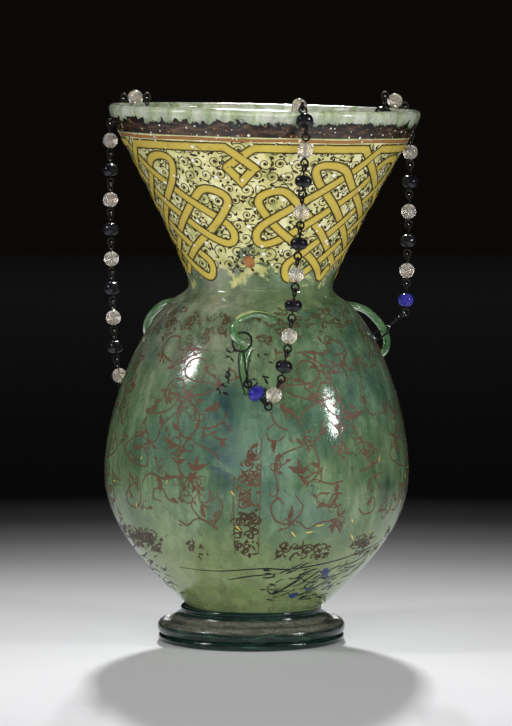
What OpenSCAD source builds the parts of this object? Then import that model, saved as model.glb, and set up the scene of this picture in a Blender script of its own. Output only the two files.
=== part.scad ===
// Enamelled glass lamp: a footed vessel with a flaring neck, three glass loops on its shoulder
// and three chains of glass beads on wire, laid over the rim with their ends inside.
// Z is up, the foot stands on Z = 0 and the front faces -Y. Azimuths run from the front towards +X.

/* [Vessel] */
// Height of the rim above the table
lamp_height = 300; // [285:1:315]
// Outer radius of the rim
rim_radius = 87.2; // [82:0.1:92]
// Radius of the rounded lip
lip_radius = 2.7; // [2.2:0.1:3.2]
// Outer radius of the neck at its narrowest
neck_radius = 40.5; // [37:0.1:45]
// Height of the narrowest ring of the neck
neck_height = 200; // [195:0.5:205]
// Outer radius of the shoulder where it turns up into the neck
shoulder_radius = 52; // [49:0.1:56]
// Height from that turn up to the narrowest ring
shoulder_drop = 11; // [9:0.1:13]
// Outer radius of the body at its widest
body_radius = 85.6; // [81:0.1:90]
// Height of the widest ring of the body
body_height = 95; // [88:0.5:102]
// Radius on which the body stands on the foot
base_radius = 36.6; // [33:0.1:40]
// Thickness of the glass
wall = 3; // [2:0.1:4]
// Thickness of the glass at the bottom
base_thickness = 5.3; // [4:0.1:8]
// Tilt of the vessel on its foot, in degrees to the right
lean = 1.3; // [0:0.1:2.5]
// Distance of the vessel's axis from the foot's axis, to the right
axis_offset = 1.2; // [0:0.1:2.5]

/* [Foot] */
// Outer radius of the foot
foot_radius = 53; // [48:0.1:58]
// Height of the seat that carries the vessel
foot_height = 18.2; // [15:0.1:22]
// Radius of the rolled edge
foot_roll = 5.5; // [4:0.1:6.5]
// Width of the flat ring that stands on the table
foot_land = 4.5; // [3:0.1:7]
// Height of the hollow under the foot
foot_hollow = 8; // [4:0.1:11]
// Radius of the bead of glass round the joint with the vessel
collar_radius = 1.6; // [1.2:0.1:2.4]

/* [Handles] */
// Radius of a loop's outer turn, at the middle of its strap
loop_radius = 7.5; // [7:0.1:8.5]
// Radius of the long curve from the neck out to that turn
crown_radius = 61; // [50:0.5:70]
// Angle at which the long curve meets the turn, up from the outermost point
crown_turn = 51; // [46:1:56]
// Thickness of the strap
strap_thickness = 4.4; // [3.5:0.1:5]
// Width of the strap
strap_width = 6; // [5.2:0.1:7]
// Height of the front loop's centre
front_loop_height = 178.5; // [176:0.5:181]
// Height of the side loops' centres
side_loop_height = 167; // [164:0.5:170]
// Distance of a loop's centre outside the glass
loop_stand = 6.6; // [5.8:0.1:7]
// Azimuth of the front loop
front_loop_azimuth = -6; // [-10:1:-2]
// Azimuth of the left loop
left_loop_azimuth = -131; // [-138:1:-124]
// Azimuth of the right loop
right_loop_azimuth = 118; // [111:1:125]
// Turn of the front loop about the vertical
front_loop_yaw = -24; // [-30:1:-16]

/* [Chains] */
// Diameter of a clear bead
clear_bead_d = 8.5; // [7.5:0.1:9.5]
// Diameter of a black bead
black_bead_d = 9.6; // [8.5:0.1:10.5]
// Length of a black bead along its wire
black_bead_h = 6.8; // [5.5:0.1:8]
// Diameter of a blue bead
blue_bead_d = 9.3; // [8.5:0.1:10.5]
// Length of a blue bead along its wire
blue_bead_h = 7.4; // [6:0.1:8.5]
// Number of lobes round a blue bead
blue_lobes = 8; // [6:1:10]
// Width of the groove between two lobes
groove_d = 1.8; // [1.2:0.1:2]
// Depth of that groove
groove_depth = 0.6; // [0.3:0.05:0.8]
// Outer diameter of a wire eye
eye_d = 5.2; // [4.8:0.1:5.6]
// Diameter of the wire in an eye
wire_d = 1.1; // [0.9:0.05:1.2]
// Diameter of the wire through a bead
pin_d = 1; // [0.8:0.05:1.05]
// Beads that hang between the rim and the front loop
front_links = 10; // [10:1:11]
// Beads that hang between the rim and the left loop
left_links = 10; // [10:1:11]
// Beads that hang between the rim and the right loop
right_links = 6; // [6:1:7]
// Azimuth at which the front chain crosses the rim
front_rim_azimuth = 13.5; // [10:0.5:16]
// Azimuth at which the left chain crosses the rim
left_rim_azimuth = -113.5; // [-118:0.5:-110]
// Azimuth at which the right chain crosses the rim
right_rim_azimuth = 116; // [112:0.5:120]
// Angle over the lip at which the front chain's outer eye rests
front_lip_angle = 72; // [66:1:76]
// Angle over the lip at which the left chain's outer eye rests
left_lip_angle = 66; // [60:1:72]
// Angle over the lip at which the right chain's outer eye rests
right_lip_angle = 45; // [40:1:52]
// Angle on the front loop's turn at which the wire ties on, up from the outermost point
front_strap_angle = -45; // [-52:1:-35]
// Angle on the left loop's turn at which the wire ties on
left_strap_angle = -40; // [-48:1:-30]
// Angle on the right loop's turn at which the wire ties on
right_strap_angle = 45; // [35:1:50]
// Outer diameter of the wire loop round a strap
strap_loop_d = 12.1; // [11:0.1:13]
// Length of the front wire, from the last bead's eye to the strap
front_wire = 25; // [22:0.5:27]
// Length of the left wire
left_wire = 24; // [21:0.5:26]
// Length of the right wire
right_wire = 18; // [16.5:0.5:20]
// Slope of the front wire below its strap
front_wire_slope = -62; // [-66:1:-56]
// Slope of the left wire below its strap
left_wire_slope = -78; // [-80:1:-72]
// Azimuth in which the front wire runs down from its strap
front_wire_azimuth = 18; // [8:1:28]
// Azimuth in which the left wire runs down from its strap
left_wire_azimuth = -115; // [-125:1:-105]
// Outer diameter of the ring that gathers the chains inside the body
ring_d = 27; // [22:0.5:32]
// Diameter of that ring's wire
ring_wire = 1.8; // [1.4:0.1:2]
// Height of that ring above the table
ring_height = 46; // [42:1:54]

/* [Clearances] */
// Radial room between a bead and its wire
bore_clearance = 0.15; // [0.1:0.05:0.25]
// Room between a bead and the eye beside it
bead_play = 0.2; // [0.1:0.05:0.4]
// Room between two linked eyes
eye_clearance = 0.25; // [0.15:0.05:0.35]
// Room between the chains and the glass that they lie on
glass_clearance = 0.4; // [0.3:0.05:0.8]
// Room between the chains and the funnel's inner wall, for links that pass the bend of the neck
track_room = 1.6; // [1.5:0.1:2.5]

/* [Hidden] */
$fn = 48;
profile_steps = 12;
lip_step = 20;
ring_place = [-16, -4];
strap_root = -150;
crown_end = 92;

// Control points of the outline, as offsets from the named rings
base_rise = [20.4, 19.8];
belly_pull = 33;
shoulder_run = [18, -19];
shoulder_turn = [-4.1, 4.4];
neck_pull = [5, 7];
funnel_end = [rim_radius - 1.7, lamp_height - 3.15 * lip_radius];
funnel_run = [27.5, 48.5];
shoulder = [shoulder_radius, neck_height - shoulder_drop];
lip_centre = [rim_radius - lip_radius, lamp_height - lip_radius];

// Sizes of the links
eye_r = (eye_d - wire_d) / 2;
hook = 2 * eye_r - wire_d - eye_clearance;
bead_length = max(clear_bead_d, black_bead_h, blue_bead_h);
bead_r = max(clear_bead_d, black_bead_d, blue_bead_d) / 2;
link_length = bead_length + 2 * bead_play + eye_d;
pitch = hook + link_length;
bead_at = hook + link_length / 2;
bore_d = pin_d + 2 * bore_clearance;
strap_loop_r = (strap_loop_d - wire_d) / 2;
ring_r = (ring_d - ring_wire) / 2;
lip_seat = lip_radius + eye_d / 2 + glass_clearance;

// Name, rim azimuth, angle of the pivot over the lip, loop, angle of the wire on the strap, links,
// then the wire's length, slope and azimuth: a wire of no slope is pulled straight by its chain
CHAINS = [
    ["front", front_rim_azimuth, front_lip_angle, 0, front_strap_angle, front_links,
        front_wire, front_wire_slope, front_wire_azimuth],
    ["left", left_rim_azimuth, left_lip_angle, 1, left_strap_angle, left_links,
        left_wire, left_wire_slope, left_wire_azimuth],
    ["right", right_rim_azimuth, right_lip_angle, 2, right_strap_angle, right_links,
        right_wire, 0, 0],
];
// Azimuth, height, turn about the vertical
LOOPS = [
    [front_loop_azimuth, front_loop_height, front_loop_yaw],
    [left_loop_azimuth, side_loop_height, 0],
    [right_loop_azimuth, side_loop_height, 0],
];
LOOP_NAMES = ["front_handle", "left_handle", "right_handle"];

// Plain vector helpers
function unit(v) = v / norm(v);
function sum(v, i = 0) = i == len(v) ? 0 : v[i] + sum(v, i + 1);
function square_to(v, d) = unit(v - (v * d) * d);
function turn(v, u, a) = v * cos(a) + cross(u, v) * sin(a) + u * (u * v) * (1 - cos(a));
function outward(a) = [sin(a), -cos(a), 0];
function on_plane(a, p) = outward(a) * p[0] + [0, 0, p[1]];
function running(start, steps, i = 0) =
    i == len(steps) ? [start] : concat([start], running(start + steps[i], steps, i + 1));
function axes_frame(at, x, y, z) =
    [[x[0], y[0], z[0], at[0]], [x[1], y[1], z[1], at[1]], [x[2], y[2], z[2], at[2]], [0, 0, 0, 1]];
function frame(at, z) =
    let (side = abs(z[2]) < 0.9 ? [0, 0, 1] : [1, 0, 0], x = unit(cross(side, z)))
    axes_frame(at, x, cross(z, x), z);

// Outline of the vessel, each stretch a cubic curve from one named ring to the next
function bezier(p, t) =
    pow(1 - t, 3) * p[0] + 3 * t * pow(1 - t, 2) * p[1] + 3 * t * t * (1 - t) * p[2] + pow(t, 3) * p[3];
function stretch(p) = [for (i = [0:profile_steps - 1]) bezier(p, i / profile_steps)];
function inset(points, d) = [
    for (i = [0:len(points) - 1])
        let (a = points[max(i - 1, 0)], b = points[min(i + 1, len(points) - 1)], t = unit(b - a))
        points[i] + d * [-t[1], t[0]]
];
function by_height(points) = [for (p = points) [p[1], p[0]]];

base = [base_radius, foot_height];
belly = [body_radius, body_height];
neck = [neck_radius, neck_height];
body_outline = concat(
    stretch([base, base + base_rise, belly - [0, belly_pull], belly]),
    stretch([belly, belly + [0, belly_pull], shoulder + shoulder_run, shoulder]));
neck_outline = concat(
    stretch([shoulder, shoulder + shoulder_turn, neck - [0, neck_pull[0]], neck]),
    stretch([neck, neck + [0, neck_pull[1]], funnel_end - funnel_run, funnel_end]),
    [funnel_end]);
outline = concat(body_outline, neck_outline);
lining = inset(outline, wall);
floor_height = foot_height + base_thickness;
lip = [for (a = [-20:lip_step:200]) lip_centre + lip_radius * [cos(a), sin(a)]];

function glass_radius(z) = lookup(z, by_height(outline));

// A loop's centre, and the middle and direction of its strap at an angle up from the outermost point
function loop_centre(l) = outward(l[0]) * (glass_radius(l[1]) + loop_stand) + [0, 0, l[1]];
function loop_out(l) = outward(l[0] + l[2]);
function strap_way(l, a) = loop_out(l) * cos(a) + [0, 0, sin(a)];
function strap_middle(l, a) = loop_centre(l) + loop_radius * strap_way(l, a);
function strap_run(l, a) = [0, 0, cos(a)] - loop_out(l) * sin(a);
function crown_centre(l) = loop_centre(l) - (crown_radius - loop_radius) * strap_way(l, crown_turn);

// A hanging chain: link directions whose slopes step evenly, as equal weights make them,
// with the step and the lowest link found so that the chain spans the given distances
function spans(lengths, low, flat, i) = lengths[i] / norm([flat, low - i]);
function across(lengths, low, flat) =
    sum([for (i = [0:len(lengths) - 1]) flat * spans(lengths, low, flat, i)]);
function down(lengths, low, flat) =
    sum([for (i = [0:len(lengths) - 1]) (low - i) * spans(lengths, low, flat, i)]);
function find_flat(lengths, low, width, a = 0.001, b = 2000, n = 46) =
    let (c = sqrt(a * b))
    n == 0 ? c
        : across(lengths, low, c) < width ? find_flat(lengths, low, width, c, b, n - 1)
        : find_flat(lengths, low, width, a, c, n - 1);
function find_low(lengths, width, height, a = -1500, b = 1500, n = 46) =
    let (c = (a + b) / 2, fall = down(lengths, c, find_flat(lengths, c, width)))
    n == 0 ? c
        : fall < height ? find_low(lengths, width, height, c, b, n - 1)
        : find_low(lengths, width, height, a, c, n - 1);
function hang(start, end, lengths) =
    let (
        flat_way = [end[0] - start[0], end[1] - start[1], 0],
        low = find_low(lengths, norm(flat_way), start[2] - end[2]),
        flat = find_flat(lengths, low, norm(flat_way)))
    [for (i = [0:len(lengths) - 1]) unit(unit(flat_way) * flat + [0, 0, i - low])];

// Over the lip: the pivot outside the rim, the rim bead's other eye, and the bead outside the lip,
// which lies on the slope of the glass below the lip where it reaches down that far
under_lip = unit(lip[0] - funnel_end);
function over_lip(distance, angle) = lip_centre + distance * [cos(angle), sin(angle)];
function lip_angle(reach, stand) =
    acos((lip_seat * lip_seat + stand * stand - reach * reach) / (2 * lip_seat * stand));
function rim_pivot(c) = over_lip(lip_seat, c[2]);
function rim_bead(c) =
    let (stand = lip_radius + clear_bead_d / 2 + glass_clearance)
    over_lip(stand, c[2] + lip_angle(link_length / 2, stand));
function lip_bead(c) =
    let (
        off = black_bead_d / 2 + glass_clearance,
        angle = c[2] - lip_angle(bead_at, lip_radius + off),
        out = [under_lip[1], -under_lip[0]],
        p = rim_pivot(c) - funnel_end,
        fall = sqrt(bead_at * bead_at - pow(off - p * out, 2)))
    angle > -atan2(under_lip[0], under_lip[1]) ? over_lip(lip_radius + off, angle)
        : funnel_end + off * out + (p * under_lip - fall) * under_lip;
function inner_pivot(c) = 2 * rim_bead(c) - rim_pivot(c);

// A link is its upper pivot, its direction, and the axes of its upper and lower eyes
function link(at, way, normal, next_normal) = [at, way, cross(normal, way), square_to(next_normal, way)];
function links(pivots, ways, normals) = [
    for (i = [0:len(ways) - 1]) link(pivots[i], ways[i], normals[i], normals[i + 1])
];
function bend(a, b) = unit(cross(a, b));
function bead_centre(k) = k[0] + bead_at * k[1];

// Outside the rim: the drop hangs from the lip link to the strap and leans out to clear the glass
function side_axis(c) = cross(outward(c[1]), [0, 0, 1]);
function lip_way(c) = on_plane(c[1], unit(lip_bead(c) - rim_pivot(c)));
function drop_start(c) = on_plane(c[1], rim_pivot(c)) + pitch * lip_way(c);
function drop_end(c) = strap_middle(LOOPS[c[3]], c[4]);
function is_tied(c) = c[7] != 0;
function wire_eye(c) = drop_end(c) + c[6] * (outward(c[8]) * cos(c[7]) + [0, 0, sin(c[7])]);
function drop_lengths(c) = concat([for (i = [1:c[5]]) pitch], is_tied(c) ? [] : [c[6]]);
function room(points) = min([
    for (p = points) norm([p[0], p[1]]) - glass_radius(p[2]) - bead_r - glass_clearance
]);
function swung(points, start, u, a) = [for (p = points) start + turn(p - start, u, a)];
function find_swing(points, start, u, a = 0, b = 70, n = 24) =
    let (m = (a + b) / 2)
    n == 0 ? b
        : room(swung(points, start, u, m)) > 0 ? find_swing(points, start, u, a, m, n - 1)
        : find_swing(points, start, u, m, b, n - 1);
function drop(c) =
    let (
        start = drop_start(c),
        end = is_tied(c) ? wire_eye(c) : drop_end(c),
        lengths = drop_lengths(c),
        ways = hang(start, end, lengths),
        pivots = running(start, [for (i = [0:len(ways) - 1]) lengths[i] * ways[i]]),
        middle = pivots[floor(len(ways) / 2)],
        u0 = unit(end - start),
        u = cross(u0, middle - start) * [middle[0], middle[1], 0] < 0 ? -u0 : u0,
        beads = [for (i = [0:c[5] - 1]) pivots[i] + bead_at * ways[i]],
        swing = room(beads) > 0 ? 0 : find_swing(beads, start, u))
    [swung(pivots, start, u, swing), [for (w = ways) turn(w, u, swing)], u];
function wire_way(c, d) = unit(drop_end(c) - d[0][c[5]]);
function drop_normals(c, d) = concat(
    [bend(lip_way(c), d[1][0])],
    [for (i = [1:c[5] - 1]) bend(d[1][0], d[1][c[5] - 1])],
    [bend(d[1][c[5] - 1], wire_way(c, d))]);
function lip_link(c, d) =
    link(on_plane(c[1], rim_pivot(c)), lip_way(c), side_axis(c), drop_normals(c, d)[0]);
function drop_links(c, d) = links(d[0], [for (i = [0:c[5] - 1]) d[1][i]], drop_normals(c, d));

// Inside: the run follows the funnel's wall down through the neck, then hangs straight, pulled by
// the ring, and a bare wire ties its last eye to the ring
track = by_height(inset(neck_outline, wall + bead_r + track_room));
function track_point(z) = [lookup(max(z, neck_height), track), z];
function find_step(p, a, b, n = 30) =
    let (z = (a + b) / 2)
    n == 0 ? track_point(z)
        : norm(track_point(z) - p) > pitch ? find_step(p, z, b, n - 1)
        : find_step(p, a, z, n - 1);
function walk(p) =
    let (next = find_step(p, p[1] - pitch, p[1]))
    next[1] < neck_height - pitch ? [p] : concat([p], walk(next));
function ring_point(from) =
    let (way = [from[0] - ring_place[0], from[1] - ring_place[1], 0])
    [ring_place[0], ring_place[1], ring_height] + ring_r * unit(way);
function level_side(way) = unit(cross(way, [0, 0, 1]));
function inner_links(c) =
    let (
        wall_pivots = [for (p = walk(inner_pivot(c))) on_plane(c[1], p)],
        last = len(wall_pivots) - 1,
        fall = ring_point(wall_pivots[last]) - wall_pivots[last],
        free_way = unit(fall),
        count = floor((norm(fall) - link_length) / pitch),
        wall_ways = [for (i = [0:last - 1]) unit(wall_pivots[i + 1] - wall_pivots[i])],
        ways = concat(wall_ways, [for (i = [1:count]) free_way]),
        pivots = running(wall_pivots[0], pitch * ways),
        free_normal = level_side(free_way),
        turn_normal = bend(wall_ways[last - 1], free_way),
        normals = [for (i = [0:len(ways)]) i < last ? side_axis(c) : i == last ? turn_normal : free_normal])
    links(pivots, ways, normals);
function ring_tie(run) =
    let (k = run[len(run) - 1])
    link(k[0] + pitch * k[1], k[1], level_side(k[1]), level_side(k[1]));

// Solids that repeat
module on_vessel() {
    translate([axis_offset, 0, foot_height]) rotate([0, lean, 0]) translate([0, 0, -foot_height]) children();
}
module torus(at, axis, r, d) {
    multmatrix(frame(at, axis)) rotate_extrude() translate([r, 0]) circle(d = d);
}
module rod(from, to, d) {
    multmatrix(frame(from, unit(to - from))) cylinder(d = d, h = norm(to - from));
}
module eye_pin(k, length = link_length) {
    upper = k[0] + hook * k[1];
    lower = upper + length * k[1];
    torus(upper, k[2], eye_r, wire_d);
    torus(lower, k[3], eye_r, wire_d);
    rod(upper + eye_r * k[1], lower - eye_r * k[1], pin_d);
}
module rim_pin(c) {
    outer = on_plane(c[1], rim_pivot(c));
    inner = on_plane(c[1], inner_pivot(c));
    way = unit(inner - outer);
    torus(outer, side_axis(c), eye_r, wire_d);
    torus(inner, side_axis(c), eye_r, wire_d);
    rod(outer + eye_r * way, inner - eye_r * way, pin_d);
}
module clear_bead(at, way) {
    color("honeydew", 0.6) multmatrix(frame(at, way)) difference() {
        sphere(d = clear_bead_d);
        cylinder(d = bore_d, h = 2 * clear_bead_d, center = true);
    }
}
module rondelle(d, h) {
    edge_r = h / 2;
    core_r = d / 2 - edge_r;
    rotate_extrude() {
        translate([bore_d / 2, -edge_r]) square([core_r - bore_d / 2, h]);
        difference() {
            translate([core_r, 0]) circle(r = edge_r);
            translate([core_r - 2 * edge_r, -edge_r]) square([2 * edge_r, h]);
        }
    }
}
module black_bead(at, way) {
    color([0.06, 0.06, 0.07]) multmatrix(frame(at, way)) rondelle(black_bead_d, black_bead_h);
}
module blue_bead(at, way) {
    color([0.12, 0.1, 0.55]) multmatrix(frame(at, way)) difference() {
        rondelle(blue_bead_d, blue_bead_h);
        for (i = [0:blue_lobes - 1]) {
            rotate([0, 0, i * 360 / blue_lobes])
                translate([blue_bead_d / 2 + groove_d / 2 - groove_depth, 0, 0])
                cylinder(d = groove_d, h = 2 * blue_bead_h, center = true);
        }
    }
}
module bead(kind, at, way) {
    if (kind == "clear") clear_bead(at, way);
    if (kind == "black") black_bead(at, way);
    if (kind == "blue") blue_bead(at, way);
}

// The vessel and its foot
module vessel_block() {
    rotate_extrude() polygon(concat([[0, foot_height]], outline, [[0, funnel_end[1]]]));
}
module vessel() {
    inside = [for (i = [len(lining) - 1:-1:0]) if (lining[i][1] > floor_height + 0.5) lining[i]];
    floor_radius = lookup(floor_height, by_height(lining));
    floor_line = [[floor_radius, floor_height], [0, floor_height]];
    profile = concat([[0, foot_height]], outline, lip, inside, floor_line);
    color([0.45, 0.62, 0.45, 0.8]) on_vessel() rotate_extrude() polygon(profile);
}
module foot() {
    roll_centre = [foot_radius - foot_roll, foot_roll];
    land_start = roll_centre[0] - foot_land;
    hollow = stretch([
        [0, foot_hollow], [land_start / 2, foot_hollow], [0.85 * land_start, foot_hollow / 2], [land_start, 0]
    ]);
    roll = [for (a = [-90:15:105]) roll_centre + foot_roll * [cos(a), sin(a)]];
    collar_centre = [base_radius + axis_offset + 0.2 * collar_radius, foot_height + 0.2 * collar_radius];
    collar = [for (a = [-60:20:100]) collar_centre + collar_radius * [cos(a), sin(a)]];
    top = [[0, foot_height + collar_radius]];
    color([0.2, 0.27, 0.22]) difference() {
        rotate_extrude() polygon(concat(hollow, [[land_start, 0]], roll, collar, top));
        on_vessel() vessel_block();
    }
}

// A handle is a drawn strap of glass: a long curve out from the neck, then a turn back to the shoulder
module strap_arc(l, at, r, from, to) {
    multmatrix(axes_frame(at, loop_out(l), [0, 0, 1], cross(loop_out(l), [0, 0, 1])))
        rotate([0, 0, from]) rotate_extrude(angle = to - from) translate([r, 0]) {
            square([strap_thickness, strap_width - strap_thickness], center = true);
            for (side = [-1, 1]) {
                translate([0, side * (strap_width - strap_thickness) / 2]) circle(d = strap_thickness);
            }
        }
}
module handle(l) {
    color([0.4, 0.6, 0.42]) on_vessel() difference() {
        union() {
            strap_arc(l, loop_centre(l), loop_radius, strap_root, crown_turn);
            strap_arc(l, crown_centre(l), crown_radius, crown_turn, crown_end);
        }
        vessel_block();
    }
}

// The wire that ties the last bead of a drop to a handle: an eye, a stem and a loop round the strap
module handle_wire(c) {
    d = drop(c);
    way = wire_way(c, d);
    upper = d[0][c[5]] + hook * way;
    around = drop_end(c);
    axis = square_to(strap_run(LOOPS[c[3]], c[4]), way);
    color("dimgray") on_vessel() {
        torus(upper, unit(cross(drop_normals(c, d)[c[5]], way)), eye_r, wire_d);
        rod(upper + eye_r * way, around - strap_loop_r * way, pin_d);
        torus(around, axis, strap_loop_r, wire_d);
    }
}
module drop_pins(c) {
    color("dimgray") on_vessel() for (k = drop_links(c, drop(c))) eye_pin(k);
}
module drop_bead(c, i) {
    k = drop_links(c, drop(c))[i];
    on_vessel() bead(bead_kind(c, i), bead_centre(k), k[1]);
}
module rim_clear_bead(c) {
    at = on_plane(c[1], rim_bead(c));
    on_vessel() clear_bead(at, unit(at - on_plane(c[1], rim_pivot(c))));
}
module lip_black_bead(c) {
    on_vessel() black_bead(on_plane(c[1], lip_bead(c)), lip_way(c));
}
module inner_pins(c) {
    run = inner_links(c);
    tie = ring_tie(run);
    color("dimgray") on_vessel() {
        rim_pin(c);
        eye_pin(lip_link(c, drop(c)));
        for (k = run) eye_pin(k);
        eye_pin(tie, norm(ring_point(tie[0]) - tie[0]) - hook);
    }
}
module inner_beads(c, kind) {
    run = inner_links(c);
    first = kind == "black" ? 0 : 1;
    on_vessel() for (i = [first:2:len(run) - 1]) bead(kind, bead_centre(run[i]), run[i][1]);
}
module gather_ring() {
    centre = [ring_place[0], ring_place[1], ring_height];
    color("dimgray") on_vessel() torus(centre, [0, 0, 1], ring_r, ring_wire);
}

// Beads of a drop alternate clear and black, and the one beside the handle is blue
function bead_kind(c, i) = i == c[5] - 1 ? "blue" : i % 2 == 0 ? "clear" : "black";
function bead_name(c, i) = str(c[0], "_bead_", i < 9 ? "0" : "", i + 1, "_", bead_kind(c, i));
PER_CHAIN = ["_chain_pins", "_handle_wire", "_rim_bead", "_lip_bead", "_inner_pins", "_inner_clear_beads",
    "_inner_black_beads"];

vessel();
foot();
for (i = [0:2]) {
    handle(LOOPS[i]);
}
gather_ring();
for (c = CHAINS) {
    drop_pins(c);
    handle_wire(c);
    rim_clear_bead(c);
    lip_black_bead(c);
    inner_pins(c);
    inner_beads(c, "clear");
    inner_beads(c, "black");
    for (i = [0:c[5] - 1]) {
        drop_bead(c, i);
    }
}
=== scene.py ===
import math
import random

import bpy
import numpy as np
from mathutils import Matrix, Vector, noise


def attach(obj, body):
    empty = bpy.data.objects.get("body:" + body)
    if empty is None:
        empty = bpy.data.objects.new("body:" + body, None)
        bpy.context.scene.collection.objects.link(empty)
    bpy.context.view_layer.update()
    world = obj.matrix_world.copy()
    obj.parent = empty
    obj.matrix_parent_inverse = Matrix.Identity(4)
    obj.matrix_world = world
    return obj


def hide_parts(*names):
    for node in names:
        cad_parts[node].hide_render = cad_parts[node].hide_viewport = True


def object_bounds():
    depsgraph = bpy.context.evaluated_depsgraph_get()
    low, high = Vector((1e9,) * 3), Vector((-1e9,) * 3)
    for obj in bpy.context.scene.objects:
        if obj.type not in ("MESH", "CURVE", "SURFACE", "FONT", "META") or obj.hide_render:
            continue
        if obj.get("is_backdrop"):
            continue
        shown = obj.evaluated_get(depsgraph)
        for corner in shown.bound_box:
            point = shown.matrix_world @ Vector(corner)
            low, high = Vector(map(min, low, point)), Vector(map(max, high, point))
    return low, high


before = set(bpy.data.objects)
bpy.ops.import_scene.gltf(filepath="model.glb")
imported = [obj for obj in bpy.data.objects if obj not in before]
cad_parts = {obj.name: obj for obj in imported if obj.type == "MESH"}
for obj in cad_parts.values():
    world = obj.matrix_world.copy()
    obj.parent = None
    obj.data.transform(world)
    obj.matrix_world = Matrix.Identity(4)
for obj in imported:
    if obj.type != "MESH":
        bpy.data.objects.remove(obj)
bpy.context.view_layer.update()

# Sizes that repeat the part's own values, in millimetres
MM = 0.001
LEAN = math.radians(1.3)
AXIS_OFFSET = 1.2
FOOT_HEIGHT = 18.2
FOOT_HOLLOW = 8.0
FOOT_LAND = 43.0
COLLAR = 1.6
BASE = (36.6, 18.2)
BELLY = (85.6, 95.0)
SHOULDER = (52.0, 189.0)
NECK = (40.5, 200.0)
FUNNEL_END = (85.5, 291.495)
LIP_CENTRE = (84.5, 297.3)
LIP_RADIUS = 2.7
WALL = 3.0
FLOOR_HEIGHT = 23.5
HANDLES = (-6.0, 118.0, -131.0)
ON_VESSEL = (
    Matrix.Translation((AXIS_OFFSET * MM, 0, FOOT_HEIGHT * MM))
    @ Matrix.Rotation(LEAN, 4, "Y")
    @ Matrix.Translation((0, 0, -FOOT_HEIGHT * MM))
)
TAU = 2 * math.pi
REPEATS = 3
PERIOD = 360 / REPEATS


# Outline of the vessel
def bezier(p, steps):
    p = np.array(p, float)
    t = np.linspace(0, 1, steps, endpoint=False)[:, None]
    return (1 - t) ** 3 * p[0] + 3 * t * (1 - t) ** 2 * p[1] + 3 * t * t * (1 - t) * p[2] + t**3 * p[3]


def shifted(p, d):
    return (p[0] + d[0], p[1] + d[1])


def vessel_outline(steps=36):
    return np.vstack([
        bezier([BASE, shifted(BASE, (20.4, 19.8)), shifted(BELLY, (0, -33)), BELLY], steps),
        bezier([BELLY, shifted(BELLY, (0, 33)), shifted(SHOULDER, (18, -19)), SHOULDER], steps),
        bezier([SHOULDER, shifted(SHOULDER, (-4.1, 4.4)), shifted(NECK, (0, -5)), NECK], steps),
        bezier([NECK, shifted(NECK, (0, 7)), shifted(FUNNEL_END, (-27.5, -48.5)), FUNNEL_END], steps),
        [FUNNEL_END],
    ])


def arc(centre, r, start, end, steps):
    a = np.radians(np.linspace(start, end, steps))
    return np.stack([centre[0] + r * np.cos(a), centre[1] + r * np.sin(a)], 1)


class Surface:
    """The outside of the vessel, addressed by azimuth and distance along its outline, in millimetres."""

    def __init__(self, points):
        self.p = points
        step = np.diff(points, axis=0)
        self.s = np.concatenate([[0], np.cumsum(np.linalg.norm(step, axis=1))])
        t = np.gradient(points, self.s, axis=0)
        t /= np.linalg.norm(t, axis=1)[:, None]
        self.n = np.stack([t[:, 1], -t[:, 0]], 1)

    def radius(self, s):
        return np.interp(s, self.s, self.p[:, 0])

    def along(self, z):
        return np.interp(z, self.p[:, 1], self.s)

    def place(self, theta, s, lift):
        r = self.radius(s) + lift * np.interp(s, self.s, self.n[:, 0])
        z = np.interp(s, self.s, self.p[:, 1]) + lift * np.interp(s, self.s, self.n[:, 1])
        return np.stack([r * np.sin(theta), -r * np.cos(theta), z], -1) * MM


OUTLINE = vessel_outline()
SKIN = Surface(OUTLINE)


# Meshes
def finish_mesh(name, verts, faces, material, uvs=None, matrix=None, body="lamp", slot="vessel_glass"):
    mesh = bpy.data.meshes.new(name)
    mesh.from_pydata(verts, [], faces)
    if uvs is not None:
        layer = mesh.uv_layers.new(name="UVMap")
        flat = [c for face in faces for v in face for c in uvs[v]]
        layer.data.foreach_set("uv", flat)
    mesh.polygons.foreach_set("use_smooth", [True] * len(mesh.polygons))
    mesh.materials.append(material)
    mesh.update()
    obj = bpy.data.objects.new(name, mesh)
    bpy.context.scene.collection.objects.link(obj)
    if matrix is not None:
        obj.matrix_world = matrix
    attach(obj, body)
    return obj


def lathe(name, profile, material, segments=256, **rest):
    """A closed turned form; a profile point on the axis becomes a single vertex."""
    verts, faces, uvs, rows = [], [], [], []
    lengths = np.concatenate([[0], np.cumsum(np.linalg.norm(np.diff(profile, axis=0), axis=1))])
    for (r, z), s in zip(profile, lengths):
        if r < 1e-6:
            rows.append([len(verts)])
            verts.append((0, 0, z * MM))
            uvs.append((0.5, s / lengths[-1]))
            continue
        row = []
        for i in range(segments):
            a = TAU * i / segments
            row.append(len(verts))
            verts.append((r * math.sin(a) * MM, -r * math.cos(a) * MM, z * MM))
            uvs.append((i / segments, s / lengths[-1]))
        rows.append(row)
    for a, b in zip(rows, rows[1:]):
        for i in range(segments):
            j = (i + 1) % segments
            if len(a) == 1:
                faces.append((a[0], b[j], b[i]))
            elif len(b) == 1:
                faces.append((a[i], a[j], b[0]))
            else:
                faces.append((a[i], a[j], b[j], b[i]))
    return finish_mesh(name, verts, faces, material, uvs, **rest)


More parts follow.
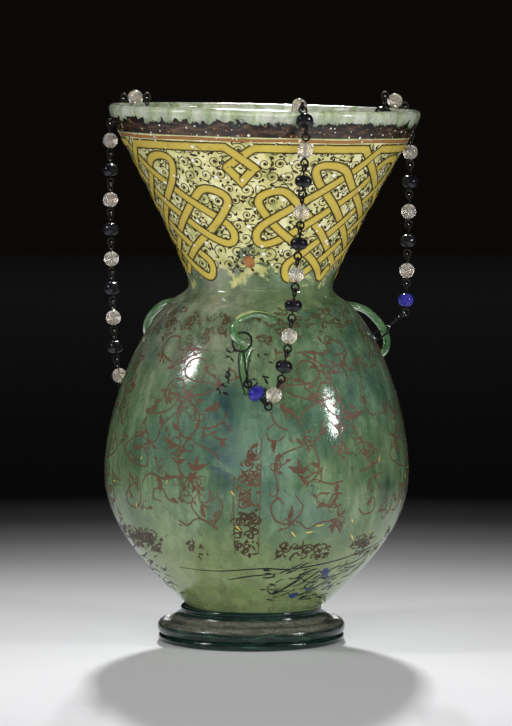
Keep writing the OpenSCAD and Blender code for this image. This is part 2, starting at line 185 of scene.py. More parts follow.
class Paint:
    """Strokes and dots that lie on the vessel, gathered into one mesh."""

    def __init__(self):
        self.verts, self.faces, self.uvs = [], [], []

    def stroke(self, path, width, lift, rows=3, wear=None, arch=0.0):
        """A ribbon along a path of azimuths and distances; arch rounds its back.

        lift is its height over the glass; strokes that cross have different lifts."""
        path = np.array(path, float)
        n = len(path)
        if n < 3:
            return
        r = SKIN.radius(path[:, 1])
        step = np.gradient(path, axis=0)
        way = np.stack([step[:, 0] * r, step[:, 1]], 1)
        way /= np.maximum(np.linalg.norm(way, axis=1), 1e-9)[:, None]
        legs = np.diff(path, axis=0) * np.stack([r[1:], np.ones(n - 1)], 1)
        lengths = np.linalg.norm(legs, axis=1)
        legs /= np.maximum(lengths, 1e-9)[:, None]
        mitre = np.ones(n)
        mitre[1:] = 1 / np.clip((legs * way[1:]).sum(1), 0.68, 1)
        run = np.concatenate([[0], np.cumsum(lengths)])
        wide = [width(i / (n - 1)) for i in range(n)] if callable(width) else np.broadcast_to(width, n)
        k = np.linspace(-1, 1, rows)[None, :]
        d = k * (np.array(wide) * mitre / 2)[:, None]
        high = np.broadcast_to(lift, n)[:, None] + arch * np.sqrt(np.maximum(0, 1 - k * k))
        theta = path[:, :1] - d * way[:, 1:] / r[:, None]
        s = path[:, 1:] + d * way[:, :1]
        first = len(self.verts)
        self.verts += [tuple(v) for v in SKIN.place(theta, s, high).reshape(-1, 3)]
        self.uvs += [(run[i] * 0.01, j / (rows - 1)) for i in range(n) for j in range(rows)]
        for i in range(n - 1):
            a, b = first + i * rows, first + (i + 1) * rows
            if wear is not None and wear(Vector(self.verts[a + rows // 2])):
                continue
            for j in range(rows - 1):
                self.faces.append((a + j + 1, a + j, b + j, b + j + 1))

    def dot(self, theta, s, size, lift, sides=8, stretch=1.0, turn=0.0, wear=None):
        centre = SKIN.place(theta, s, lift)
        if wear is not None and wear(Vector(centre)):
            return
        a = TAU * np.arange(sides) / sides
        u, v = size * np.cos(a), size * stretch * np.sin(a)
        u, v = u * math.cos(turn) - v * math.sin(turn), u * math.sin(turn) + v * math.cos(turn)
        first = len(self.verts)
        self.verts.append(tuple(centre))
        self.verts += [tuple(p) for p in SKIN.place(theta + u / SKIN.radius(s), s + v, lift)]
        self.uvs.append((0.5, 0.5))
        self.uvs += [(0.5 + 0.5 * math.cos(b), 0.5 + 0.5 * math.sin(b)) for b in a]
        for i in range(sides):
            self.faces.append((first, first + 1 + i, first + 1 + (i + 1) % sides))

    def make(self, name, material):
        return finish_mesh(name, self.verts, self.faces, material, self.uvs, matrix=ON_VESSEL)


# Materials
class Nodes:
    """A material's node tree, with short calls for the nodes used here."""

    def __init__(self, name):
        self.material = bpy.data.materials.new(name)
        self.material.use_nodes = True
        self.tree = self.material.node_tree
        self.bsdf = self.tree.nodes["Principled BSDF"]

    def new(self, kind, **settings):
        node = self.tree.nodes.new(kind)
        for key, value in settings.items():
            setattr(node, key, value)
        return node

    def put(self, socket, value):
        if isinstance(value, bpy.types.NodeSocket):
            self.tree.links.new(value, socket)
        else:
            socket.default_value = value

    def set(self, **values):
        for key, value in values.items():
            self.put(self.bsdf.inputs[key.replace("_", " ")], value)

    def coords(self, kind="Object"):
        return self.new("ShaderNodeTexCoord").outputs[kind]

    def split(self, vector):
        node = self.new("ShaderNodeSeparateXYZ")
        self.put(node.inputs[0], vector)
        return node.outputs

    def scaled(self, vector, scale):
        node = self.new("ShaderNodeMapping")
        self.put(node.inputs["Vector"], vector)
        node.inputs["Scale"].default_value = scale
        return node.outputs["Vector"]

    def noise(self, vector, scale, detail=4.0, roughness=0.55, distortion=0.0):
        node = self.new("ShaderNodeTexNoise")
        self.put(node.inputs["Vector"], vector)
        node.inputs["Scale"].default_value = scale
        node.inputs["Detail"].default_value = detail
        node.inputs["Roughness"].default_value = roughness
        node.inputs["Distortion"].default_value = distortion
        return node.outputs["Fac"]

    def math(self, operation, a, b=0.0, c=0.0):
        node = self.new("ShaderNodeMath", operation=operation)
        for socket, value in zip(node.inputs, (a, b, c)):
            self.put(socket, value)
        return node.outputs[0]

    def jitter(self, value, field, amount):
        """The value moved up and down by a noise field."""
        return self.math("ADD", value, self.math("MULTIPLY", self.math("SUBTRACT", field, 0.5), amount))

    def spread(self, value, low, high, to_low=0.0, to_high=1.0):
        node = self.new("ShaderNodeMapRange", interpolation_type="SMOOTHSTEP")
        for socket, v in zip(node.inputs, (value, low, high, to_low, to_high)):
            self.put(socket, v)
        return node.outputs[0]

    def ramp(self, value, stops):
        node = self.new("ShaderNodeValToRGB")
        self.put(node.inputs[0], value)
        elements = node.color_ramp.elements
        while len(elements) < len(stops):
            elements.new(0.5)
        for element, (at, colour) in zip(elements, stops):
            element.position = at
            element.color = (*colour, 1.0)
        return node.outputs["Color"]

    def mix(self, fac, a, b):
        node = self.new("ShaderNodeMix", data_type="RGBA")
        self.put(node.inputs["Factor"], fac)
        for socket, value in ((node.inputs[6], a), (node.inputs[7], b)):
            self.put(socket, value if isinstance(value, bpy.types.NodeSocket) else (*value, 1.0))
        return node.outputs[2]

    def bump(self, height, strength, distance):
        node = self.new("ShaderNodeBump")
        self.put(node.inputs["Height"], height)
        node.inputs["Strength"].default_value = strength
        node.inputs["Distance"].default_value = distance
        self.put(self.bsdf.inputs["Normal"], node.outputs["Normal"])


def vessel_material():
    m = Nodes("vessel_glass_enamelled")
    place = m.coords()
    x, y, z = m.split(place)
    cloud = m.noise(place, 26, 5, 0.6)
    patch = m.noise(place, 60, 6, 0.62, 0.6)
    fine = m.noise(place, 330, 5, 0.6)
    streak = m.noise(m.scaled(place, (1, 1, 0.22)), 95, 5, 0.65)
    # Hazy green glass
    tone = m.math("ADD", m.math("MULTIPLY", cloud, 0.5), m.math("MULTIPLY", streak, 0.5))
    green = m.ramp(tone, [
        (0.36, (0.075, 0.165, 0.090)), (0.46, (0.168, 0.292, 0.150)), (0.55, (0.250, 0.380, 0.200)),
        (0.68, (0.375, 0.485, 0.275)),
    ])
    green = m.mix(m.spread(patch, 0.55, 0.68, 0, 0.6), green, (0.085, 0.190, 0.150))
    teal = m.spread(m.noise(place, 16, 3, 0.5), 0.46, 0.62, 0, 0.6)
    green = m.mix(teal, green, (0.145, 0.295, 0.225))
    specks = m.spread(m.noise(place, 210, 6, 0.7, 0.8), 0.52, 0.66, 0, 0.45)
    green = m.mix(specks, green, (0.380, 0.460, 0.270))
    dirt = m.spread(m.noise(place, 150, 6, 0.7, 1.4), 0.56, 0.70, 0, 0.6)
    green = m.mix(dirt, green, (0.070, 0.085, 0.042))
    green = m.mix(m.spread(z, 0.082, 0.046, 0, 0.8), green, (0.400, 0.500, 0.210))
    green = m.mix(m.spread(z, 0.186, 0.196, 0, 0.45), green, (0.280, 0.390, 0.180))
    # Pale weathering on one side of the shoulder
    haze = m.math("MULTIPLY", m.spread(z, 0.140, 0.172), m.spread(x, 0.008, -0.022))
    haze = m.math("MULTIPLY", haze, m.spread(m.noise(place, 75, 6, 0.7), 0.40, 0.62, 0.25, 0.95))
    green = m.mix(haze, green, (0.460, 0.480, 0.345))
    # Dark bluish patch beside the column of ornament, on the front side only
    beside = m.spread(m.math("ABSOLUTE", m.math("ADD", x, 0.021)), 0.013, 0.003)
    off_middle = m.math("ABSOLUTE", m.math("SUBTRACT", z, 0.118))
    beside = m.math("MULTIPLY", beside, m.spread(off_middle, 0.045, 0.012))
    beside = m.math("MULTIPLY", beside, m.spread(y, 0.0, -0.03))
    beside = m.math("MULTIPLY", beside, m.spread(patch, 0.40, 0.60, 0.1, 0.75))
    green = m.mix(beside, green, (0.030, 0.070, 0.115))
    # Pale lip with near-white streaks: the lip's own pale glass, with painted highlight along the rim
    lip = m.ramp(m.noise(m.scaled(place, (1, 1, 0.3)), 150, 5, 0.65), [
        (0.34, (0.32, 0.46, 0.22)), (0.45, (0.64, 0.74, 0.50)), (0.57, (0.92, 0.95, 0.84)),
    ])
    green = m.mix(m.spread(z, 0.2895, 0.2950), green, lip)
    # Cream ground on the funnel, worn away round the neck
    low = m.jitter(m.jitter(z, patch, 0.075), fine, 0.012)
    cream_mask = m.math("MULTIPLY", m.spread(low, 0.2065, 0.2125), m.spread(z, 0.2846, 0.2852, 1, 0))
    cream = m.ramp(m.noise(place, 120, 5, 0.65), [
        (0.34, (0.37, 0.38, 0.12)), (0.47, (0.66, 0.62, 0.25)), (0.62, (0.84, 0.81, 0.46)),
        (0.80, (0.93, 0.92, 0.68)),
    ])
    cream = m.mix(m.spread(z, 0.240, 0.212, 0, 0.5), cream, (0.34, 0.35, 0.10))
    colour = m.mix(cream_mask, green, cream)
    # Dark, ragged band under the lip
    ragged = m.jitter(z, m.noise(place, 130, 6, 0.7), 0.020)
    band_mask = m.math("MULTIPLY", m.spread(z, 0.2848, 0.2853), m.spread(ragged, 0.2926, 0.2932, 1, 0))
    band = m.ramp(m.noise(m.scaled(place, (1, 1, 3)), 140, 5, 0.7), [
        (0.36, (0.008, 0.006, 0.006)), (0.50, (0.040, 0.022, 0.016)), (0.64, (0.130, 0.080, 0.040)),
    ])
    band = m.mix(m.spread(ragged, 0.2895, 0.2922), band, (0.008, 0.007, 0.008))
    colour = m.mix(band_mask, colour, band)
    painted = m.math("MAXIMUM", cream_mask, band_mask)
    m.set(Base_Color=colour, IOR=1.46, Coat_Weight=0.3, Coat_Roughness=0.04)
    m.set(Roughness=m.math("ADD", m.math("MULTIPLY", painted, 0.10), m.spread(fine, 0.3, 0.7, 0.06, 0.14)))
    bare = m.math("SUBTRACT", 1.0, m.math("MULTIPLY", painted, 0.85))
    m.set(Transmission_Weight=m.math("MULTIPLY", m.spread(streak, 0.35, 0.7, 0.66, 0.48), bare))
    m.bump(m.math("ADD", fine, m.math("MULTIPLY", streak, 2.0)), 0.10, 0.0010)
    return m.material


def foot_material():
    m = Nodes("foot_glass_dark")
    place = m.coords()
    x, y, z = m.split(place)
    out = m.math("SQRT", m.math("ADD", m.math("MULTIPLY", x, x), m.math("MULTIPLY", y, y)))
    fine = m.noise(place, 420, 4, 0.6)
    streak = m.noise(m.scaled(place, (1, 1, 7)), 60, 4, 0.6, 1.2)
    base = m.ramp(streak, [
        (0.36, (0.004, 0.009, 0.009)), (0.55, (0.010, 0.026, 0.020)), (0.72, (0.040, 0.085, 0.050)),
    ])
    # Grey-brown film on the upper face of the outer roll: partly dust, partly painted sheen where that face
    # catches the light
    dust_and_sheen = m.math("MULTIPLY", m.spread(z, 0.0085, 0.0115), m.spread(streak, 0.3, 0.6, 0.45, 0.9))
    dust_and_sheen = m.math("MULTIPLY", dust_and_sheen, m.spread(out, 0.0405, 0.0440))
    dust_and_sheen_colour = m.ramp(fine, [(0.3, (0.120, 0.112, 0.092)), (0.7, (0.215, 0.205, 0.170))])
    m.set(Base_Color=m.mix(dust_and_sheen, base, dust_and_sheen_colour), IOR=1.5, Transmission_Weight=0.2)
    m.set(Roughness=m.math("ADD", m.math("MULTIPLY", dust_and_sheen, 0.25), m.spread(fine, 0.3, 0.7, 0.06, 0.14)))
    m.bump(m.math("ADD", fine, m.math("MULTIPLY", streak, 2.0)), 0.12, 0.001)
    return m.material


def glass_material(name, tints, scale, transmission, rough, bump=0.15, ior=1.48):
    m = Nodes(name)
    wave = m.noise(m.coords(), scale, 3, 0.5, 0.8)
    m.set(Base_Color=m.ramp(wave, tints), Transmission_Weight=transmission, IOR=ior)
    m.set(Roughness=m.spread(wave, 0.3, 0.7, *rough))
    m.bump(wave, bump, 0.001)
    return m.material


def enamel_material(name, middle, edge, rough=0.4, plain=0.10):
    """Enamel with another colour at the edges of a stroke; plain is how far out its middle keeps its own."""
    m = Nodes(name)
    place = m.coords()
    across = m.math("ABSOLUTE", m.math("SUBTRACT", m.split(m.coords("UV"))["Y"], 0.5))
    mottle = m.noise(place, 240, 5, 0.65)
    rim = m.jitter(across, mottle, 0.35)
    colour = m.mix(m.spread(rim, plain, 0.48), middle, edge)
    dark = tuple(0.55 * c for c in edge)
    colour = m.mix(m.spread(m.noise(place, 90, 4, 0.6), 0.58, 0.75, 0, 0.6), colour, dark)
    m.set(Base_Color=colour, Roughness=m.spread(mottle, 0.3, 0.7, rough - 0.1, rough + 0.15))
    m.bsdf.inputs["Specular IOR Level"].default_value = 0.3
    m.bump(mottle, 0.2, 0.0006)
    return m.material


def wire_material():
    m = Nodes("wire_dark_iron")
    rust = m.noise(m.coords(), 500, 4, 0.6)
    colour = m.ramp(rust, [
        (0.35, (0.012, 0.011, 0.011)), (0.60, (0.045, 0.040, 0.036)), (0.78, (0.110, 0.075, 0.050)),
    ])
    m.set(Base_Color=colour, Metallic=0.75, Roughness=m.spread(rust, 0.3, 0.7, 0.32, 0.6))
    m.bump(rust, 0.25, 0.0004)
    return m.material


VESSEL_GLASS = vessel_material()
FOOT_GLASS = foot_material()
HANDLE_GLASS = glass_material("handle_glass_green", [
    (0.3, (0.14, 0.34, 0.15)), (0.6, (0.30, 0.54, 0.26)), (0.8, (0.55, 0.74, 0.46)),
], 130, 0.74, (0.03, 0.10), 0.25)
CLEAR_GLASS = glass_material("bead_glass_clear", [
    (0.3, (0.84, 0.73, 0.60)), (0.55, (0.95, 0.90, 0.82)), (0.75, (0.98, 0.97, 0.93)),
], 200, 0.83, (0.02, 0.08), 0.14)
BLACK_GLASS = glass_material("bead_glass_black", [
    (0.3, (0.004, 0.004, 0.005)), (0.6, (0.012, 0.012, 0.016)), (0.8, (0.035, 0.033, 0.045)),
], 300, 0.0, (0.06, 0.24), 0.25)
BLUE_GLASS = glass_material("bead_glass_blue", [
    (0.3, (0.020, 0.018, 0.22)), (0.6, (0.05, 0.05, 0.42)), (0.8, (0.16, 0.16, 0.62)),
], 260, 0.35, (0.05, 0.18), 0.25)
WIRE = wire_material()
GOLD = enamel_material("enamel_ochre", (0.53, 0.41, 0.075), (0.31, 0.23, 0.035), plain=0.32)
OLIVE = enamel_material("enamel_outline_olive", (0.046, 0.038, 0.012), (0.030, 0.025, 0.009))
INK = enamel_material("enamel_ink_brown", (0.034, 0.023, 0.011), (0.020, 0.014, 0.008))
BROWN = enamel_material("enamel_brown_worn", (0.085, 0.058, 0.028), (0.060, 0.044, 0.022))
UMBER = enamel_material("enamel_umber", (0.058, 0.034, 0.018), (0.036, 0.024, 0.013))
RED = enamel_material("enamel_red_brown", (0.112, 0.060, 0.038), (0.085, 0.050, 0.031))
ORANGE = enamel_material("enamel_orange_red", (0.34, 0.150, 0.052), (0.20, 0.085, 0.034))
BLACK_LINE = enamel_material("enamel_line_black", (0.010, 0.010, 0.012), (0.018, 0.018, 0.018))
YELLOW = enamel_material("enamel_yellow", (0.62, 0.48, 0.11), (0.42, 0.32, 0.08))
BLUE = enamel_material("enamel_blue", (0.030, 0.055, 0.150), (0.018, 0.032, 0.080))
WHITE = enamel_material("enamel_white", (0.80, 0.80, 0.74), (0.60, 0.62, 0.52))

# Materials of the parts that keep their solids
for name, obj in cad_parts.items():
    if name.endswith("_handle"):
        chosen = HANDLE_GLASS
    elif name.endswith(("_clear", "_clear_beads", "_rim_bead")):
        chosen = CLEAR_GLASS
    elif name.endswith(("_black", "_black_beads", "_lip_bead")):
        chosen = BLACK_GLASS
    elif name.endswith("_blue"):
        chosen = BLUE_GLASS
    else:
        chosen = WIRE
    obj.data.materials.clear()
    obj.data.materials.append(chosen)


# The vessel and the foot, smoother than their solids
def inset(points, d):
    t = np.gradient(points, axis=0)
    t /= np.linalg.norm(t, axis=1)[:, None]
    return points + d * np.stack([-t[:, 1], t[:, 0]], 1)


lining = inset(OUTLINE, WALL)
floor_radius = np.interp(FLOOR_HEIGHT, lining[:, 1], lining[:, 0])
vessel_profile = np.vstack([
    [[0, FOOT_HEIGHT]], OUTLINE, arc(LIP_CENTRE, LIP_RADIUS, -20, 200, 18),
    lining[lining[:, 1] > FLOOR_HEIGHT + 0.5][::-1], [[floor_radius, FLOOR_HEIGHT], [0, FLOOR_HEIGHT]],
])
vessel = lathe("vessel_skin", vessel_profile, VESSEL_GLASS, matrix=ON_VESSEL)
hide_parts("vessel")

# The foot's edge is folded into a thin roll below a thicker one, each with its centre and radius
LOWER_ROLL = ((49.9, 2.5), 2.5)
UPPER_ROLL = ((48.3, 7.9), 4.5)
FOOT_TOP = (33, 17)
hollow = [(0, FOOT_HOLLOW), (FOOT_LAND / 2, FOOT_HOLLOW), (0.85 * FOOT_LAND, FOOT_HOLLOW / 2), (FOOT_LAND, 0)]
collar_centre = (BASE[0] + AXIS_OFFSET + 0.2 * COLLAR, FOOT_HEIGHT + 0.2 * COLLAR)
foot_profile = np.vstack([
    bezier(hollow, 20),
    [[FOOT_LAND, 0]],
    arc(*LOWER_ROLL, -90, 62, 16),
    arc(*UPPER_ROLL, -52, 110, 24),
    arc(collar_centre, COLLAR, -60, 120, 14),
    [FOOT_TOP, (0, FOOT_TOP[1])],
])
foot = lathe("foot_skin", foot_profile, FOOT_GLASS, slot="foot_glass")
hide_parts("foot")


# Handles, drawn straps of glass that widen where they meet the vessel
STRAP_WIDTH = 5.6
STRAP_THICKNESS = 4.2
# Radii and heights of a side loop, and its twist in degrees of azimuth at each point
SIDE_LOOP = [
    (47.5, 188.5), (58, 188), (67.5, 185.5), (76, 179), (80.6, 172.4), (82.2, 166.5), (80.6, 161.8),
    (76, 159.4), (70.5, 160.6),
]
RIGHT_TWIST = (0,) * len(SIDE_LOOP)
LEFT_TWIST = (6, 6, 6, 5.5, 4, 1.5, 0, 0, 0)
# Points of the front loop, and the direction across its strap
FRONT_LOOP = [
    (6, -53, 184.2), (1.5, -58.4, 187.2), (-4.8, -65, 188.2), (-11, -70.8, 186), (-14.4, -74.2, 181),
    (-13.4, -74.4, 176), (-9.6, -71, 173.2), (-7.4, -65.4, 170.6), (-6.6, -63.4, 169.8),
]
FRONT_ACROSS = (0.6, -0.8, 0)


def through(points, steps=8):
    """A smooth curve through the points."""
    p = np.array(points, float)
    p = np.vstack([2 * p[0] - p[1], p, 2 * p[-1] - p[-2]])
    out = []
    for a, b, c, d in zip(p, p[1:], p[2:], p[3:]):
        for t in np.linspace(0, 1, steps, endpoint=False):
            bend = (2 * a - 5 * b + 4 * c - d) * t * t + (3 * b - a - 3 * c + d) * t**3
            out.append((2 * b + (c - a) * t + bend) / 2)
    return np.array(out + [p[-2]])


def drawn_strap(name, points, side, sides=16):
    """A strap of oval section along a curve; side points across its width."""
    path = through(points)
    t = np.gradient(path, axis=0)
    t /= np.linalg.norm(t, axis=1)[:, None]
    n = np.cross(side, t)
    n /= np.linalg.norm(n, axis=1)[:, None]
    b = np.cross(t, n)
    run = np.concatenate([[0], np.cumsum(np.linalg.norm(np.diff(path, axis=0), axis=1))])
    flare = 1 + 0.75 * np.exp(-((run / 5) ** 2)) + 0.6 * np.exp(-(((run[-1] - run) / 4) ** 2))
    verts, faces, uvs = [], [], []
    for i in range(len(path)):
        for j in range(sides):
            a = TAU * j / sides
            reach = STRAP_WIDTH / 2 * math.cos(a) * b[i] + STRAP_THICKNESS / 2 * math.sin(a) * n[i]
            verts.append(tuple((path[i] + flare[i] * reach) * MM))
            uvs.append((j / sides, run[i] / run[-1]))
    for i in range(len(path) - 1):
        for j in range(sides):
            k = (j + 1) % sides
            faces.append((i * sides + j, i * sides + k, (i + 1) * sides + k, (i + 1) * sides + j))
    faces.append(tuple(range(sides))[::-1])
    faces.append(tuple((len(path) - 1) * sides + j for j in range(sides)))
    obj = finish_mesh(name + "_strap", verts, faces, HANDLE_GLASS, uvs, matrix=ON_VESSEL, slot="handle_glass")
    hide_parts(name)


def side_strap(name, azimuth, twist):
    turns = np.radians(azimuth + np.array(twist))
    r, z = np.array(SIDE_LOOP).T
    across = math.radians(azimuth + max(twist) / 2)
    points = np.stack([r * np.sin(turns), -r * np.cos(turns), z], 1)
    drawn_strap(name, points, (math.cos(across), math.sin(across), 0))


side_strap("right_handle", HANDLES[1], RIGHT_TWIST)
side_strap("left_handle", HANDLES[2], LEFT_TWIST)
drawn_strap("front_handle", FRONT_LOOP, FRONT_ACROSS)


# Interlaced strap
def smooth(points, gap):
    """A curve drawn towards each point in turn; a point given twice makes a sharp corner."""
    p = np.array(points, float)
    out = [p[0]]
    for a, b, c in zip(p, p[1:], p[2:]):
        start, end = (a + b) / 2, (b + c) / 2
        n = max(2, int(np.linalg.norm(end - start) / gap))
        for i in range(1, n + 1):
            t = i / n
            out.append((1 - t) ** 2 * start + 2 * t * (1 - t) * b + t * t * end)
    return out + [p[-1]]


def on_skin(points, turn=0.0, hand=1):
    """Azimuths in degrees and heights as a path on the vessel."""
    return [(math.radians(turn + hand * x), SKIN.along(z)) for x, z in points]


def crossings(path):
    """Places where a flat path crosses itself, as pairs of positions along it."""
    p = np.array(path)
    a, d = p[:-1], np.diff(p, axis=0)
    found = []
    for i in range(len(a) - 2):
        e = a[i + 2:] - a[i]
        cross = d[i, 0] * d[i + 2:, 1] - d[i, 1] * d[i + 2:, 0]
        cross = np.where(np.abs(cross) < 1e-12, 1e-12, cross)
        t = (e[:, 0] * d[i + 2:, 1] - e[:, 1] * d[i + 2:, 0]) / cross
        u = (e[:, 0] * d[i, 1] - e[:, 1] * d[i, 0]) / cross
        for k in np.nonzero((t >= 0) & (t < 1) & (u >= 0) & (u < 1))[0]:
            found += [i + t[k], i + 2 + k + u[k]]
    return sorted(found)


def weave(path):
    """Height along a path that passes over and under itself in turn, from -1 to 1."""
    stops = crossings(path)
    values = [1.0 if k % 2 == 0 else -1.0 for k in range(len(stops))]
    at = np.interp(np.arange(len(path)), [-1, *stops, len(path)], [0, *values, 0])
    return np.sin(at * math.pi / 2)


# One strap makes the border, a square loop over each gap, and a lattice that it weaves with itself
KNOT_CENTRE = 50
BORDER = 279.2
# Azimuths from the lattice's middle and heights
SQUARE = [(-66, BORDER), (-53.9, 268.2), (-60, 260), (-66.1, 268.2), (-54, BORDER)]
HALF = [
    (-30, BORDER), (-5, BORDER), (-5, BORDER), (6, 267), (22.6, 254.2), (36, 245.3),
    (54.5, 234), (52, 224), (36, 229.5), (18, 241.4), (4, 251.5), (-5.5, 260),
    (-13, 270), (-28, 270.5), (-24.5, 260.5), (-11.8, 248.6), (4.2, 233.8), (16.3, 225.3),
    (24, 219.8), (34.5, 214), (30, 204), (12, 212.5), (-5.9, 225.7), (-14.5, 233.6), (-24.5, 241.4),
    (-33.5, 250.3), (-41, 257.5), (-54.5, 251.5), (-47.5, 240.5), (-38.3, 231.8), (-15, 218.1), (-5, 211.5),
]
TOP_BOWS = (262, 274)
OTHER_HALF = [(-x, z + (3.2 if TOP_BOWS[0] < z < TOP_BOWS[1] and abs(x) > 10 else 0)) for x, z in HALF[::-1]]
strap_points = []
for k in range(1, REPEATS + 1):
    corners = [p for p in SQUARE for _ in range(2)]
    strap_points += [(KNOT_CENTRE + PERIOD * k + x, z) for x, z in corners + HALF + [(0, 205.5)] + OTHER_HALF]
strap_points.append((strap_points[0][0] + 360, BORDER))
strap_path = on_skin(smooth(strap_points, 0.9))
strap_lift = 0.26 + 0.12 * weave([(theta * 60, s) for theta, s in strap_path])
strap_width = np.array([3.2 + 0.019 * SKIN.radius(s) for _, s in strap_path])


def strap_wear(p):
    return p.z < 0.222 and noise.noise(p * 130) > (p.z - 0.202) * 24


gold, olive = Paint(), Paint()
gold.stroke(strap_path, strap_width, strap_lift, 5, strap_wear)
olive.stroke(strap_path, strap_width + 1.5, strap_lift - 0.07, 5, strap_wear)
gold.make("enamel_straps", GOLD)
olive.make("enamel_strap_outlines", OLIVE)


# Fine scrolls on the cream ground
def spiral(theta, s, size, turns, start, hand, steps=26, tail=0.22):
    """A curl that winds in towards its centre."""
    r = SKIN.radius(s)
    out = []
    for i in range(steps):
        t = i / (steps - 1)
        a = start + hand * t * turns * TAU
        d = size * (1 - (1 - tail) * t)
        out.append((theta + d * math.cos(a) / r, s + d * math.sin(a)))
    return out


def swell(width, least=0.12):
    return lambda t: least + width * math.sin(math.pi * t**0.62) ** 1.1


def tapered(least, more):
    """Width of a stroke that is widest in its middle."""
    return lambda t: least + more * math.sin(math.pi * t)


def narrowing(start, loss):
    """Width of a stroke that narrows from its start."""
    return lambda t: start - loss * t


def leaf(paint, theta, s, way, length, width, lift, curve=0.5, wear=None):
    """A curved leaf drawn as one stroke that swells and narrows."""
    r = SKIN.radius(s)
    path = []
    u, v = 0.0, 0.0
    steps = 8
    for i in range(steps):
        path.append((theta + u / r, s + v))
        a = way + curve * (i / (steps - 1) - 0.3)
        u += length / (steps - 1) * math.cos(a)
        v += length / (steps - 1) * math.sin(a)
    paint.stroke(path, swell(width), lift, wear=wear)


def ground_wear(p):
    return p.z < 0.226 and noise.noise(p * 120) > (p.z - 0.204) * 18


rng = random.Random(7)
ink, pale = Paint(), Paint()
SCROLL_ROWS = 10
SCROLL_SPACING = 9.4
scroll_low, scroll_high = SKIN.along(210), SKIN.along(281)
for row in range(SCROLL_ROWS):
    s = scroll_low + (scroll_high - scroll_low) * (row + 0.5) / SCROLL_ROWS
    r = SKIN.radius(s)
    count = int(TAU * r / SCROLL_SPACING)
    for i in range(count):
        theta = TAU * (i + 0.5 * (row % 2)) / count + rng.uniform(-0.02, 0.02)
        at = s + rng.uniform(-1.0, 1.0)
        hand = 1 if (i + row) % 2 else -1
        size = rng.uniform(2.8, 4.7)
        start = rng.uniform(0, TAU)
        curl = spiral(theta, at, size, rng.uniform(1.2, 1.6), start, hand)
        ink.stroke(curl, narrowing(0.66, 0.22), 0.05, wear=ground_wear)
        ink.dot(theta, at, rng.uniform(0.7, 1.2), 0.06, wear=ground_wear)
        for j in range(5):
            a = start + rng.uniform(0.8, 1.6) * j * hand
            leaf(ink, theta + size * 1.02 * math.cos(a) / r, at + size * 1.02 * math.sin(a), a + hand * 1.1,
                 rng.uniform(1.9, 3.3), rng.uniform(0.8, 1.6), 0.055, hand * 1.2, ground_wear)
        if rng.random() < 0.35:
            pale.dot(theta + 6.2 / r, at + rng.uniform(-2, 2), rng.uniform(0.6, 1.3), 0.07, wear=ground_wear)


# Worn scrolls on the body
def scroll_wear(p):
    return noise.noise(p * 36) > 0.42


def heavy_wear(p):
    return noise.noise(p * 45) > 0.28


# Stems of one panel, as azimuths from the column beside it and heights
STEMS = [
    [(20, 167), (28, 168), (37, 167), (40, 173), (46, 173), (49, 168), (46, 163), (40, 160), (32, 160)],
    [(22, 168), (29, 164), (33, 161), (39, 158)],
    [(12, 148), (17, 150), (25, 151), (30, 154), (30, 160), (26, 163), (22, 162), (20, 157), (22, 151)],
    [(12, 149), (20, 144), (30, 142), (36, 144)],
    [(23, 149), (28, 144), (29, 147), (31, 151), (36, 150), (38, 144), (36, 139), (33, 141)],
    [(38, 144), (40, 139), (42, 136)],
    [(30, 142), (34, 135), (40, 132), (44, 133)],
    [(30, 142), (26, 140), (21, 135), (20, 127), (24, 120), (28, 124), (29, 129), (30, 134), (26, 134),
     (22, 129)],
    [(8, 136), (11, 129), (16, 126), (21, 127)],
    [(10, 130), (7, 126), (8, 121), (12, 121), (14, 124)],
    [(23, 121), (26, 114), (27, 106), (25, 100), (20, 96)],
    [(23, 120), (19, 117), (14, 114), (11, 110), (10, 105), (11, 98), (11, 90)],
    [(18, 91), (21, 85), (20, 80), (16, 75), (11, 77), (9, 84), (11, 89), (14, 86)],
    [(16, 76), (20, 76), (24, 72), (28, 75), (32, 76), (39, 75)],
    [(27, 84), (31, 86), (33, 91), (37, 91), (38, 86), (34, 84)],
    [(54, 154), (53, 149), (58, 146), (61, 143), (52, 139), (55, 133), (59, 134)],
    [(43, 117), (48, 119), (54, 115), (56, 109), (48, 104), (42, 103), (42, 110), (46, 114)],
    [(45, 92), (45, 84), (49, 79), (54, 81), (53, 88), (49, 84)],
    [(30, 134), (36, 126), (38, 118), (41, 115)],
    [(25, 100), (32, 97), (40, 99), (44, 93)],
]
